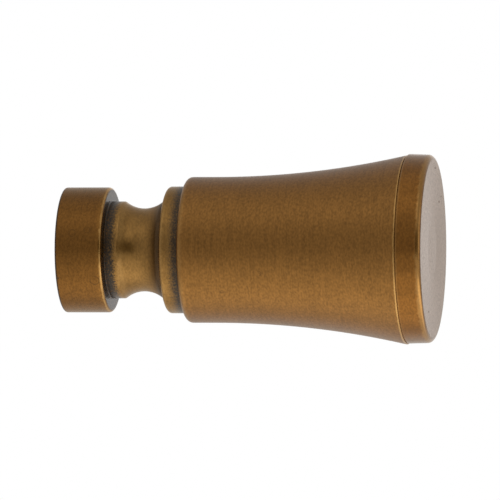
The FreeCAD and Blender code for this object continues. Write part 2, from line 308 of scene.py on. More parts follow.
def makeRingGroup():
    # Band round one edge of the turned form, lightened as wear and as a painted highlight
    group, start, end = newGroup("edgeRing", [
        ("Vector", "NodeSocketVector", None), ("Along", "NodeSocketFloat", 0.0),
        ("Radius", "NodeSocketFloat", 0.0), ("Edge Along", "NodeSocketFloat", 0.0),
        ("Edge Radius", "NodeSocketFloat", 0.0), ("Width", "NodeSocketFloat", 0.001)],
        [("Mask", "NodeSocketFloat")])
    take = start.outputs
    across = sums(group, "SUBTRACT", take["Along"], take["Edge Along"])
    outward = sums(group, "SUBTRACT", take["Radius"], take["Edge Radius"])
    squares = sums(group, "ADD", sums(group, "POWER", sums(group, "ABSOLUTE", across), 2.0),
                   sums(group, "POWER", sums(group, "ABSOLUTE", outward), 2.0))
    away = sums(group, "SQRT", squares)
    width = sums(group, "MULTIPLY", take["Width"], noise(group, take["Vector"], "uneven"))
    core = sums(group, "MULTIPLY", width, ringCore)
    group.links.new(ramp(group, away, core, width, 1.0, 0.0), end.inputs["Mask"])
    return group


def makeDropGroup():
    # Ring left by a drop of finish: a thin, broken circle round a place on the surface
    group, start, end = newGroup("driedDrop", [
        ("Vector", "NodeSocketVector", None), ("Place", "NodeSocketVector", None),
        ("Size", "NodeSocketFloat", 0.001), ("Line", "NodeSocketFloat", 0.0002)],
        [("Mask", "NodeSocketFloat")])
    take = start.outputs
    gap = group.nodes.new("ShaderNodeVectorMath")
    gap.operation = "DISTANCE"
    group.links.new(take["Vector"], gap.inputs[0])
    group.links.new(take["Place"], gap.inputs[1])
    wobble = sums(group, "SUBTRACT", noise(group, take["Vector"], "wobble"), 0.5)
    away = sums(group, "ADD", gap.outputs["Value"], sums(group, "MULTIPLY", wobble, take["Line"]))
    fromLine = sums(group, "ABSOLUTE", sums(group, "SUBTRACT", away, take["Size"]))
    circle = ramp(group, fromLine, 0.0, take["Line"], 1.0, 0.0)
    broken = noise(group, take["Vector"], "broken")
    group.links.new(sums(group, "MULTIPLY", circle, broken), end.inputs["Mask"])
    return group


turnedPlace = makeRadiusGroup()
brushingGroup = makeBrushingGroup()
mottleGroup = makeMottleGroup()
bandGroup = makeBandGroup()
ringGroup = makeRingGroup()
dropGroup = makeDropGroup()
print("shader groups made")

bronze = {
    "deepening": 0.50,  # how much of its brightness the metal keeps in the dark grain
    "pepper": 0.56,  # share of the grain in the depth of colour, and so are the next two
    "streaks": 0.24,
    "clouds": 0.10,
    # light colour of edges worn bright and of painted highlights
    "highlightAndRubbed": (0.62, 0.36, 0.12),
    # colour of the dark bands: patination, with painted shade and a painted dark reflection in places
    "shadeAndPatina": (0.012, 0.0060, 0.0018),
    "mark": (0.030, 0.018, 0.008),  # of dried drops and of specks
    "roughnessSpread": 0.03,
    "highlightAndRubbedRoughness": 0.20,
    "shadeAndPatinaRoughness": 0.30,
    "pitRoughness": 0.85,
    "specular": 0.30,
    "lacquer": 0.13,
    "shadeAndPatinaLacquer": 0.05,
    "lacquerRoughness": 0.30,
    "lacquerIor": 1.48,
    "brushDepth": 0.000010,  # in metres
    "insideFade": 0.3,  # mm over which a band ends outwards
    "speckCore": 0.5,  # how much of a speck's size is at full strength
}


def bronzeMaterial(name, finish, centre=None):
    # Burnished bronze under a thin lacquer. Washes change its shade, some adding painted shade in a
    # corner;
    # bands stay dark with patination and painted shade, and rings are worn bright and painted as
    # highlights.
    metal, roughness, brush = finish["metal"], finish["roughness"], finish["brush"]
    material = bpy.data.materials.new(name)
    material.use_nodes = True
    tree = material.node_tree
    shader = tree.nodes["Principled BSDF"]
    place = tree.nodes.new("ShaderNodeTexCoord").outputs["Object"]
    if centre:
        mapping = tree.nodes.new("ShaderNodeMapping")
        mapping.vector_type = "TEXTURE"
        mapping.inputs["Location"].default_value = centre["location"]
        mapping.inputs["Rotation"].default_value = centre["rotation"]
        tree.links.new(place, mapping.inputs["Vector"])
        place = mapping.outputs["Vector"]
    turned = placed(tree, turnedPlace, Vector=place)
    along, radius = turned["Along"], turned["Radius"]
    brushing = placed(tree, brushingGroup, Vector=place, Radius=radius)
    mottle = placed(tree, mottleGroup, Vector=place)

    depth = sums(tree, "MULTIPLY", brushing["Tone"], bronze["streaks"] * brush)
    depth = sums(tree, "ADD", depth, sums(tree, "MULTIPLY", mottle["Pepper"], bronze["pepper"]))
    depth = sums(tree, "ADD", depth, sums(tree, "MULTIPLY", mottle["Cloud"], bronze["clouds"]))
    evenly = 0.5 * (1 - bronze["streaks"] * brush - bronze["pepper"] - bronze["clouds"])  # the rest
    depth = sums(tree, "ADD", depth, evenly, clamp=True)
    deep = tuple(value * bronze["deepening"] for value in metal)
    colour = blendColours(tree, depth, metal, deep)

    def bandMask(band):
        mask = placed(tree, bandGroup, **{
            "Vector": place, "Along": along, "From": band["from"] * mm, "To": band["to"] * mm,
            "From Fade": band["fromFade"] * mm, "To Fade": band["toFade"] * mm,
            "Ragged": band["ragged"] * mm})["Mask"]
        if "inside" in band:
            limit = (band["inside"] + bronze["insideFade"]) * mm
            within = ramp(tree, radius, band["inside"] * mm, limit, 1.0, 0.0)
            mask = sums(tree, "MULTIPLY", mask, within)
        return sums(tree, "MULTIPLY", mask, band["strength"])

    rough = ramp(tree, mottle["Pepper"], 0.0, 1.0, roughness - bronze["roughnessSpread"],
                 roughness + bronze["roughnessSpread"], "LINEAR")
    for wash in finish.get("washes", ()):
        keeps = wash.get("deepening", bronze["deepening"])
        washDeep = tuple(value * keeps for value in wash["metal"])
        tone = blendColours(tree, depth, wash["metal"], washDeep)
        mask = bandMask(wash)
        colour = blendColours(tree, mask, colour, tone)
        if "roughness" in wash:
            rough = blendValues(tree, mask, rough, wash["roughness"])
    # Rings: edges worn bright, with painted highlights where light catches the edges
    highlightAndRubbed = 0.0
    for edgeAlong, edgeRadius, width, strength in finish["rings"]:
        mask = placed(tree, ringGroup, **{
            "Vector": place, "Along": along, "Radius": radius, "Edge Along": edgeAlong * mm,
            "Edge Radius": edgeRadius * mm, "Width": width * mm})["Mask"]
        highlightAndRubbed = sums(tree, "MAXIMUM", sums(tree, "MULTIPLY", mask, strength), highlightAndRubbed)
    colour = blendColours(tree, highlightAndRubbed, colour, bronze["highlightAndRubbed"])

    # Dark bands: patination, with painted shade and a painted dark reflection in places
    dark = 0.0
    for band in finish.get("bands", ()):
        dark = sums(tree, "MAXIMUM", bandMask(band), dark)
    dark = sums(tree, "MULTIPLY", dark, noise(tree, place, "worn"), clamp=True)
    colour = blendColours(tree, dark, colour, bronze["shadeAndPatina"])

    marks = 0.0
    for drop in finish.get("drops", ()):
        mask = placed(tree, dropGroup, **{
            "Vector": place, "Place": tuple(value * mm for value in drop["place"]),
            "Size": drop["size"] * mm, "Line": drop["line"] * mm})["Mask"]
        marks = sums(tree, "MAXIMUM", sums(tree, "MULTIPLY", mask, drop["strength"]), marks)
    pits = 0.0
    for speck in finish.get("specks", ()):
        offset = tree.nodes.new("ShaderNodeVectorMath")
        offset.operation = "SUBTRACT"
        tree.links.new(place, offset.inputs[0])
        offset.inputs[1].default_value = tuple(value * mm for value in speck["place"])
        gap = tree.nodes.new("ShaderNodeVectorMath")
        gap.operation = "DIVIDE"
        tree.links.new(offset.outputs[0], gap.inputs[0])
        gap.inputs[1].default_value = tuple(value * mm for value in speck["size"])
        length = tree.nodes.new("ShaderNodeVectorMath")
        length.operation = "LENGTH"
        tree.links.new(gap.outputs[0], length.inputs[0])
        mask = ramp(tree, length.outputs["Value"], bronze["speckCore"], 1.0, 1.0, 0.0)
        pits = sums(tree, "MAXIMUM", sums(tree, "MULTIPLY", mask, speck["strength"]), pits)
    colour = blendColours(tree, sums(tree, "MAXIMUM", marks, pits), colour, bronze["mark"])
    bare = sums(tree, "MAXIMUM", dark, pits)

    tree.links.new(colour, shader.inputs["Base Color"])
    tree.links.new(ramp(tree, bare, 0.0, 1.0, 1.0, 0.0, "LINEAR"), shader.inputs["Metallic"])
    shader.inputs["Specular IOR Level"].default_value = bronze["specular"]
    shader.inputs["Specular Tint"].default_value = (*finish.get("edgeTint", (1.0, 1.0, 1.0)), 1.0)
    rough = blendValues(tree, highlightAndRubbed, rough, bronze["highlightAndRubbedRoughness"])
    rough = blendValues(tree, dark, rough, bronze["shadeAndPatinaRoughness"])
    rough = blendValues(tree, pits, rough, bronze["pitRoughness"])
    tree.links.new(rough, shader.inputs["Roughness"])
    tree.links.new(ramp(tree, bare, 0.0, 1.0, bronze["lacquer"], bronze["shadeAndPatinaLacquer"], "LINEAR"),
                   shader.inputs["Coat Weight"])
    shader.inputs["Coat Roughness"].default_value = bronze["lacquerRoughness"]
    shader.inputs["Coat IOR"].default_value = bronze["lacquerIor"]
    bump = tree.nodes.new("ShaderNodeBump")
    bump.inputs["Strength"].default_value = 1.0
    bump.inputs["Distance"].default_value = bronze["brushDepth"] * brush
    tree.links.new(brushing["Height"], bump.inputs["Height"])
    tree.links.new(bump.outputs["Normal"], shader.inputs["Normal"])
    return material


steel = {
    "zinc": {"colour": (0.56, 0.56, 0.54), "roughness": 0.30},
    "black": {"colour": (0.075, 0.070, 0.066), "roughness": 0.42},
    "darker": 0.6,  # how much of its brightness the metal keeps in the dark grain
    "roughnessBelow": 0.05,
    "roughnessAbove": 0.08,
    "grainDepth": 0.000004,  # in metres
}


def steelMaterial(name, finish):
    colour, roughness = finish["colour"], finish["roughness"]
    material = bpy.data.materials.new(name)
    material.use_nodes = True
    tree = material.node_tree
    shader = tree.nodes["Principled BSDF"]
    place = tree.nodes.new("ShaderNodeTexCoord").outputs["Object"]
    mottle = placed(tree, mottleGroup, Vector=place)
    darker = tuple(value * steel["darker"] for value in colour)
    shade = blendColours(tree, mottle["Pepper"], colour, darker)
    tree.links.new(shade, shader.inputs["Base Color"])
    shader.inputs["Metallic"].default_value = 1.0
    rough = ramp(tree, mottle["Cloud"], 0.0, 1.0, roughness - steel["roughnessBelow"],
                 roughness + steel["roughnessAbove"], "LINEAR")
    tree.links.new(rough, shader.inputs["Roughness"])
    bump = tree.nodes.new("ShaderNodeBump")
    bump.inputs["Distance"].default_value = steel["grainDepth"]
    tree.links.new(mottle["Pepper"], bump.inputs["Height"])
    tree.links.new(bump.outputs["Normal"], shader.inputs["Normal"])
    return material


# Collar, coved neck and shoulder ring

neck = {
    "mouth": -10.0,
    "shoulder": 2.4,
    "socketRadius": 14.2,
    "collarRadius": 16.5,
    "landRadius": 12.8,
    "coveStart": 5.95,
    "coveRadius": 8.1,
    "coveDepth": 1.85,
    "frontLand": 1.4,
    "ringRadius": 16.7,
    "ringThickness": 5.05,
    "locatorRadius": 6.0,
    "locatorHeight": 1.5,
    "tappedRadius": 3.05,
    "tappedEnd": 9.8,
    "drillTip": 8.0,
    "grubAlong": -5.0,
    "grubRadius": 2.05,
    "grubHoleOut": 15.0,  # from the axis to the middle of the hole
    "grubHoleLength": 8.0,
    "grubHoleSteps": 48,
    "coveSteps": 28,
    "mouthEdge": (0.55, 5),  # roundings, each a width in mm and a number of segments
    "socketEdge": (0.4, 1),
    "socketRoot": (0.25, 2),
    "shoulderEdge": (0.9, 6),
    "shoulderRoot": (0.35, 3),
    "coveStartEdge": (0.18, 3),
    "coveEndEdge": (0.35, 4),
    "ringRoot": (0.30, 3),
    "ringRearEdge": (0.9, 6),
    "ringFrontEdge": (0.12, 2),
}
neck["halfCove"] = math.sqrt(neck["coveRadius"] ** 2 - (neck["coveRadius"] - neck["coveDepth"]) ** 2)
neck["coveMiddle"] = neck["coveStart"] + neck["halfCove"]
neck["coveEnd"] = neck["coveMiddle"] + neck["halfCove"]
neck["ringRear"] = neck["coveEnd"] + neck["frontLand"]
neck["ringFront"] = neck["ringRear"] + neck["ringThickness"]
neck["finish"] = {
    "metal": (0.2235, 0.0950, 0.0172),
    "roughness": 0.27,
    "brush": 0.6,
    "edgeTint": (1.0, 0.93, 0.83),
    "washes": [  # collar's edge, all in front of it, cove's front half, and its end darkened by patination and painted shade
        {"from": 0.4, "to": 2.8, "fromFade": 1.5, "toFade": 0.1, "ragged": 0.1, "strength": 0.8,
         "metal": (0.290, 0.128, 0.024)},
        {"from": 3.0, "to": 24.0, "fromFade": 1.0, "toFade": 0.3, "ragged": 0.3, "strength": 1.0,
         "metal": (0.293, 0.1515, 0.0394), "roughness": 0.27, "deepening": 0.56},
        {"from": 11.5, "to": 18.0, "fromFade": 3.0, "toFade": 0.1, "ragged": 0.2, "strength": 1.0,
         "metal": (0.293, 0.1515, 0.0394), "roughness": 0.44, "deepening": 0.56, "inside": 14.5},
        # cove's end by the ring: patination with painted shade
        {"from": 13.6, "to": 18.0, "fromFade": 2.8, "toFade": 0.1, "ragged": 0.2, "strength": 0.72,
         "metal": (0.070, 0.030, 0.008), "inside": 14.5},
    ],
    "bands": [  # patinated rear land; front land patinated and with painted shade by the ring; patinated front of the ring and inside of the socket; painted dark reflection on the mouth's edge
        {"from": 0.5, "to": 5.45, "fromFade": 0.4, "toFade": 1.2, "ragged": 3.6, "strength": 1.0,
         "inside": 15.75},
        # front land: patination with painted shade where the cove meets the ring
        {"from": 15.5, "to": 18.2, "fromFade": 0.9, "toFade": 0.1, "ragged": 0.2, "strength": 0.45,
         "inside": 13.6},
        {"from": 19.5, "to": 24.0, "fromFade": 2.4, "toFade": 0.1, "ragged": 3.2, "strength": 0.96},
        {"from": -11.0, "to": 1.0, "fromFade": 0.1, "toFade": 0.1, "ragged": 0.2, "strength": 0.9,
         "inside": 14.25},
        # painted dark reflection on the rounded edge of the mouth
        {"from": -10.5, "to": -9.35, "fromFade": 0.1, "toFade": 0.35, "ragged": 0.2,
         "strength": 0.92},
    ],
    "rings": [  # along, radius, width and strength
        # collar's shoulder edge: worn bright, with a painted highlight
        (neck["shoulder"] - 0.25, neck["collarRadius"] - 0.05, 0.5, 0.60),
        # painted highlight where the cove starts
        (neck["coveStart"] + 0.5, neck["landRadius"] - 0.35, 1.5, 0.13),
        # painted highlight on the rear edge of the ring
        (neck["ringRear"] + 0.4, neck["ringRadius"] - 0.3, 1.0, 0.20),
    ],
    "drops": [
        {"place": (0.37, -14.42, -8.02), "size": 1.2, "line": 0.28, "strength": 0.45},
        {"place": (-5.35, -15.89, 4.42), "size": 0.9, "line": 0.25, "strength": 0.3},
        {"place": (-1.39, -15.65, 5.21), "size": 0.8, "line": 0.25, "strength": 0.35},
    ],
    "specks": [
        {"place": (-9.31, -14.75, -7.37), "size": (0.35, 0.35, 0.35), "strength": 0.6},
    ],
}


def makeNeck():
    n = neck
    top = n["ringFront"] + n["locatorHeight"]
    bm = bmesh.new()
    pen = penDown(bm, 0, 0)
    pen = penLine(bm, pen, 0, n["socketRadius"])
    pen = penLine(bm, pen, n["mouth"], n["socketRadius"])
    pen = penLine(bm, pen, n["mouth"], n["collarRadius"])
    pen = penLine(bm, pen, n["shoulder"], n["collarRadius"])
    pen = penLine(bm, pen, n["shoulder"], n["landRadius"])
    pen = penLine(bm, pen, n["coveStart"], n["landRadius"])
    sweep = -2 * math.asin(n["halfCove"] / n["coveRadius"])
    centreRadius = n["landRadius"] - n["coveDepth"] + n["coveRadius"]
    pen = penArc(bm, pen, n["coveMiddle"], centreRadius, sweep, n["coveSteps"])
    pen = penLine(bm, pen, n["ringRear"], n["landRadius"])
    pen = penLine(bm, pen, n["ringRear"], n["ringRadius"])
    pen = penLine(bm, pen, n["ringFront"], n["ringRadius"])
    pen = penLine(bm, pen, n["ringFront"], n["locatorRadius"])
    pen = penLine(bm, pen, top, n["locatorRadius"])
    pen = penLine(bm, pen, top, n["tappedRadius"])
    pen = penLine(bm, pen, n["tappedEnd"], n["tappedRadius"])
    penLine(bm, pen, n["drillTip"], 0)
    turnSection(bm)
    bevelRing(bm, n["mouth"], n["collarRadius"], n["mouthEdge"])
    bevelRing(bm, n["mouth"], n["socketRadius"], n["socketEdge"])
    bevelRing(bm, n["shoulder"], n["collarRadius"], n["shoulderEdge"])
    bevelRing(bm, n["shoulder"], n["landRadius"], n["shoulderRoot"])
    bevelRing(bm, n["coveStart"], n["landRadius"], n["coveStartEdge"])
    bevelRing(bm, n["coveEnd"], n["landRadius"], n["coveEndEdge"])
    bevelRing(bm, n["ringRear"], n["landRadius"], n["ringRoot"])
    bevelRing(bm, n["ringRear"], n["ringRadius"], n["ringRearEdge"])
    bevelRing(bm, n["ringFront"], n["ringRadius"], n["ringFrontEdge"])
    bevelRing(bm, 0, n["socketRadius"], n["socketRoot"])
    hole = bmesh.new()  # for the grub screw, through the rear wall of the collar
    shift = (Matrix.Translation((n["grubAlong"] * mm, n["grubHoleOut"] * mm, 0))
             @ Matrix.Rotation(math.pi / 2, 4, "X"))
    bmesh.ops.create_cone(hole, cap_ends=True, segments=n["grubHoleSteps"],
                          radius1=n["grubRadius"] * mm, radius2=n["grubRadius"] * mm,
                          depth=n["grubHoleLength"] * mm, matrix=shift)
    bm = carve(bm, hole, "DIFFERENCE")
    material = bronzeMaterial("neckBronze", n["finish"])
    return makePiece(bm, "socketNeck", "socket_neck", material)


# Hollow barrel, straight beside the ring and flared to its rim

barrel = {
    "start": neck["ringFront"],
    "length": 58.6,
    "straight": 7.7,
    "radius": 19.2,
    "rimRadius": 24.85,
    "wall": 2.2,
    "floor": 4.0,
    "seatDepth": 6.0,
    "seatWall": 1.3,
    "screwHole": 3.3,
    "recessRadius": 6.1,
    "recessDepth": 1.6,
    "beadDepth": 0.45,  # of the cement that shows in the seam under the cap
    "beadHeight": 0.19,
    "beadWidth": 0.4,
    "flareSteps": 44,
    "innerSteps": 24,
    "startEdge": (1.45, 7),
    "rimEdge": (0.3, 3),
    "floorRoot": (1.5, 4),
}
barrel["rise"] = barrel["rimRadius"] - barrel["radius"]
barrel["flare"] = barrel["length"] - barrel["straight"]
barrel["bend"] = (barrel["flare"] ** 2 + barrel["rise"] ** 2) / (2 * barrel["rise"])
barrel["rim"] = barrel["start"] + barrel["length"]
barrel["seatRun"] = barrel["flare"] - barrel["seatDepth"]
barrel["seatRadius"] = (barrel["radius"] + barrel["bend"] - barrel["seatWall"]
                        - math.sqrt(barrel["bend"] ** 2 - barrel["seatRun"] ** 2))
barrel["finish"] = {
    "metal": (0.300, 0.1378, 0.0318),
    "roughness": 0.38,
    "brush": 1.0,
    "bands": [
        {"from": barrel["start"] - 1.0, "to": barrel["start"] + 0.35, "fromFade": 0.1,
         "toFade": 0.35, "ragged": 0.3, "strength": 0.9, "inside": barrel["radius"] - 0.9},
    ],
    "rings": [
        # barrel's rounded rear edge: worn bright, with a painted highlight
        (barrel["start"] + 0.5, barrel["radius"] - 0.3, 1.5, 0.16),
        # rim's edge beside the seam: worn bright, with a painted highlight
        (barrel["rim"] - 0.12, barrel["rimRadius"] - 0.05, 0.43, 0.60),
    ],
    "drops": [
        {"place": (44.71, -18.65, -6.14), "size": 0.62, "line": 0.22, "strength": 0.55},
        {"place": (34.45, -15.82, -10.93), "size": 0.42, "line": 0.20, "strength": 0.4},
    ],
}


def makeBarrel():
    b = barrel
    bendAlong = b["start"] + b["straight"]
    bendRadius = b["radius"] + b["bend"]
    innerBend = b["bend"] + b["wall"]
    innerSweep = math.asin(b["seatRun"] / innerBend)
    innerAtSeat = bendRadius - innerBend * math.cos(innerSweep)
    seatFloor = b["rim"] - b["seatDepth"]
    flareSweep = -math.asin(b["flare"] / b["bend"])
    beadTop = b["rim"] + b["beadHeight"]
    beadOuter = b["rimRadius"] - b["beadDepth"]
    beadInner = beadOuter - b["beadWidth"]
    bm = bmesh.new()
    first = pen = penDown(bm, b["start"], b["recessRadius"])
    pen = penLine(bm, pen, b["start"], b["radius"])
    pen = penLine(bm, pen, bendAlong, b["radius"])
    pen = penArc(bm, pen, bendAlong, bendRadius, flareSweep, b["flareSteps"])
    pen = penLine(bm, pen, b["rim"], beadOuter)
    pen = penLine(bm, pen, beadTop, beadOuter)
    pen = penLine(bm, pen, beadTop, beadInner)
    pen = penLine(bm, pen, b["rim"], beadInner)
    pen = penLine(bm, pen, b["rim"], b["seatRadius"])
    pen = penLine(bm, pen, seatFloor, b["seatRadius"])
    pen = penLine(bm, pen, seatFloor, innerAtSeat)
    pen = penArc(bm, pen, bendAlong, bendRadius, innerSweep, b["innerSteps"])
    pen = penLine(bm, pen, b["start"] + b["floor"], b["radius"] - b["wall"])
    pen = penLine(bm, pen, b["start"] + b["floor"], b["screwHole"])
    pen = penLine(bm, pen, b["start"] + b["recessDepth"], b["screwHole"])
    pen = penLine(bm, pen, b["start"] + b["recessDepth"], b["recessRadius"])
    bm.edges.new((pen, first))
    turnSection(bm)
    bevelRing(bm, b["start"], b["radius"], b["startEdge"])
    bevelRing(bm, b["rim"], b["rimRadius"], b["rimEdge"])
    bevelRing(bm, b["start"] + b["floor"], b["radius"] - b["wall"], b["floorRoot"])
    material = bronzeMaterial("barrelBronze", b["finish"])
    return makePiece(bm, "flaredBarrel", "flared_body", material)


# End cap, cemented slightly high and leaning

cap = {
    "gap": 0.2,
    "lift": 0.3,
    "lean": 0.2,
    "radius": barrel["rimRadius"],
    "taper": 0.2,
    "thickness": 6.5,
    "dishDepth": 0.35,
    "dishFlat": 7.4,
    "spigotClearance": 0.55,
    "spigotEnd": 1.2,
    "spigotWall": 2.5,
    "seamEdge": (0.25, 3),  # beside the barrel
    "faceEdge": (1.4, 7),
    "dishEdge": (0.8, 3),
}
cap["finish"] = {
    "metal": (0.272, 0.1115, 0.0198),
    "roughness": 0.21,
    "brush": 0.5,
    "edgeTint": (1.0, 0.972, 0.925),
    "rings": [
        # cap's back edge beside the seam: worn bright, with a painted highlight
        (0.1, cap["radius"] - 0.05, 0.32, 0.18),
        # painted highlight across the rounding into the end face
        (cap["thickness"] - 0.65, cap["radius"] - cap["taper"] - 0.25, 1.1, 0.28),
    ],
    "specks": [
        {"place": (3.55, -9.84, -23.0), "size": (0.35, 0.35, 0.35), "strength": 0.6},
        {"place": (6.3, 2.70, 21.2), "size": (0.6, 1.7, 0.38), "strength": 0.24},
        {"place": (6.3, 10.70, 12.4), "size": (0.6, 1.7, 0.38), "strength": 0.24},
        {"place": (6.3, 14.20, 13.8), "size": (0.6, 1.5, 0.32), "strength": 0.14},
        {"place": (6.3, -7.50, -16.4), "size": (0.6, 1.5, 0.35), "strength": 0.20},
    ],
}


def makeCap():
    c = cap
    spigot = barrel["seatRadius"] - c["spigotClearance"]
    spigotBack = c["spigotEnd"] - barrel["seatDepth"] - c["gap"]
    face = c["thickness"] - c["dishDepth"]
    bm = bmesh.new()
    pen = penDown(bm, 0, 0)
    pen = penLine(bm, pen, 0, spigot - c["spigotWall"])
    pen = penLine(bm, pen, spigotBack, spigot - c["spigotWall"])
    pen = penLine(bm, pen, spigotBack, spigot)
    pen = penLine(bm, pen, 0, spigot)
    pen = penLine(bm, pen, 0, c["radius"])
    pen = penLine(bm, pen, c["thickness"], c["radius"] - c["taper"])
    pen = penLine(bm, pen, face, c["dishFlat"])
    penLine(bm, pen, face, 0)
    turnSection(bm)
    bevelRing(bm, 0, c["radius"], c["seamEdge"])
    bevelRing(bm, c["thickness"], c["radius"] - c["taper"], c["faceEdge"])
    bevelRing(bm, face, c["dishFlat"], c["dishEdge"])
    location = Vector(((barrel["rim"] + c["gap"]) * mm, 0, c["lift"] * mm))
    lean = math.radians(c["lean"])
    bmesh.ops.transform(bm, matrix=Matrix.Translation(location) @ Matrix.Rotation(lean, 4, "Y"),
                        verts=bm.verts[:])
    centre = {"location": location, "rotation": (0, lean, 0)}
    material = bronzeMaterial("capBronze", c["finish"], centre)
    return makePiece(bm, "endCap", "end_cap", material)


# Screws and washer

screw = {
    "radius": 3.0,
    "length": 16.0,
    "pitch": 1.0,
    "headRadius": 5.0,
    "headHeight": 6.0,
    "keyWidth": 5.0,
    "keyDepth": 3.0,
    "pointChamfer": 0.6,
    "threadIntoHead": 0.5,  # so that the two join
    "topEdge": (0.5, 3),
    "seatEdge": (0.1, 1),
}
grub = {
    "radius": 2.0,
    "length": 3.0,
    "pitch": 0.7,
    "keyWidth": 2.0,
    "keyDepth": 1.5,
    "toBore": 0.2,
    "chamfer": 0.4,
}
washer = {"hole": 3.3, "radius": 6.0, "thickness": 1.6, "edge": (0.2, 2)}
threadShape = {
    "depth": 0.55,  # in pitches, and so are the next two
    "rise": 0.42,
    "crest": 0.12,
    "stepsPerTurn": 40,
    "spareTurns": 2,  # at each end, which are cut off
    "weld": 1e-6,
}
smallSteps = 64  # facets of the screws and the washer
envelopeMargin = 0.1  # by which the form that trims a thread stands clear of it
steelSharp = 30  # degrees from which an edge of a screw looks sharp


def threadedRod(start, end, radius, pitch):
    # One tooth is swept along the helix, and the ends are cut square and closed
    t = threadShape
    root = radius - t["depth"] * pitch
    bm = bmesh.new()
    first = start - t["spareTurns"] * pitch
    pen = penDown(bm, first, root)
    pen = penLine(bm, pen, first + t["rise"] * pitch, radius)
    pen = penLine(bm, pen, first + (t["rise"] + t["crest"]) * pitch, radius)
    penLine(bm, pen, first + pitch, root)
    turns = math.ceil((end - start) / pitch) + 2 * t["spareTurns"]
    bmesh.ops.spin(bm, geom=bm.verts[:] + bm.edges[:], cent=(0, 0, 0), axis=(1, 0, 0),
                   dvec=(pitch * mm / t["stepsPerTurn"], 0, 0), angle=math.tau * turns,
                   steps=t["stepsPerTurn"] * turns, use_merge=False, use_duplicate=False)
    bmesh.ops.remove_doubles(bm, verts=bm.verts[:], dist=t["weld"])
    for place, side in ((start, -1), (end, 1)):
        bmesh.ops.bisect_plane(bm, geom=bm.verts[:] + bm.edges[:] + bm.faces[:], dist=cutDistance,
                               plane_co=(place * mm, 0, 0), plane_no=(side, 0, 0), clear_outer=True)
    bmesh.ops.holes_fill(bm, edges=[edge for edge in bm.edges if edge.is_boundary], sides=0)
    bmesh.ops.recalc_face_normals(bm, faces=bm.faces[:])
    return bm


def turnedPlug(points):
    bm = bmesh.new()
    pen = penDown(bm, *points[0])
    for along, radius in points[1:]:
        pen = penLine(bm, pen, along, radius)
    turnSection(bm, smallSteps)
    return bm


def keyTool(along, depth, width):
    # Hexagon for a key; it stands as far out of the screw as it goes in
    bm = bmesh.new()
    shift = Matrix.Translation((along * mm, 0, 0)) @ Matrix.Rotation(math.pi / 2, 4, "Y")
    corner = width / math.sqrt(3) * mm
    bmesh.ops.create_cone(bm, cap_ends=True, segments=6, radius1=corner, radius2=corner,
                          depth=2 * depth * mm, matrix=shift)
    return bm


def makeFixingScrew():
    s = screw
    seat = barrel["start"] + barrel["floor"] + washer["thickness"]
    tip = seat - s["length"]
    top = seat + s["headHeight"]
    rod = threadedRod(tip, seat + s["threadIntoHead"], s["radius"], s["pitch"])
    low = s["radius"] - s["pointChamfer"]
    high = s["radius"] + envelopeMargin
    last = seat + 2 * s["threadIntoHead"]
    envelope = turnedPlug([(tip, 0), (tip, low), (tip + s["pointChamfer"] + envelopeMargin, high),
                           (last, high), (last, 0)])
    rod = carve(rod, envelope, "INTERSECT")
    head = turnedPlug([(seat, 0), (seat, s["headRadius"]), (top, s["headRadius"]), (top, 0)])
    bevelRing(head, top, s["headRadius"], s["topEdge"])
    bevelRing(head, seat, s["headRadius"], s["seatEdge"])
    rod = carve(head, rod, "UNION")
    rod = carve(rod, keyTool(top, s["keyDepth"], s["keyWidth"]), "DIFFERENCE")
    return makePiece(rod, "fixingScrew", "fixing_screw", zincSteel, steelSharp)


def makeGrubScrew():
    g = grub
    rod = threadedRod(0, g["length"], g["radius"], g["pitch"])
    low = g["radius"] - g["chamfer"]
    high = g["radius"] + envelopeMargin
    run = g["chamfer"] + envelopeMargin
    envelope = turnedPlug([(0, 0), (0, low), (run, high), (g["length"] - run, high),
                           (g["length"], low), (g["length"], 0)])
    rod = carve(rod, envelope, "INTERSECT")
    rod = carve(rod, keyTool(g["length"], g["keyDepth"], g["keyWidth"]), "DIFFERENCE")
    tip = neck["socketRadius"] + g["toBore"]
    shift = (Matrix.Translation((neck["grubAlong"] * mm, tip * mm, 0))
             @ Matrix.Rotation(math.pi / 2, 4, "Z"))
    bmesh.ops.transform(rod, matrix=shift, verts=rod.verts[:])
    return makePiece(rod, "grubScrew", "grub_screw", blackSteel, steelSharp)


def makeWasher():
    w = washer
    start = barrel["start"] + barrel["floor"]
    bm = bmesh.new()
    first = pen = penDown(bm, start, w["hole"])
    pen = penLine(bm, pen, start, w["radius"])
    pen = penLine(bm, pen, start + w["thickness"], w["radius"])
    pen = penLine(bm, pen, start + w["thickness"], w["hole"])
    bm.edges.new((pen, first))
    turnSection(bm, smallSteps)
    bevelRing(bm, start + w["thickness"], w["radius"], w["edge"])
    return makePiece(bm, "washerRing", "washer", zincSteel)


zincSteel = steelMaterial("zincSteel", steel["zinc"])
blackSteel = steelMaterial("blackSteel", steel["black"])

makeNeck()
makeBarrel()
makeCap()
print("turned pieces made")
makeWasher()
makeFixingScrew()
makeGrubScrew()
print("washer and screws made")


# Light, floor and camera

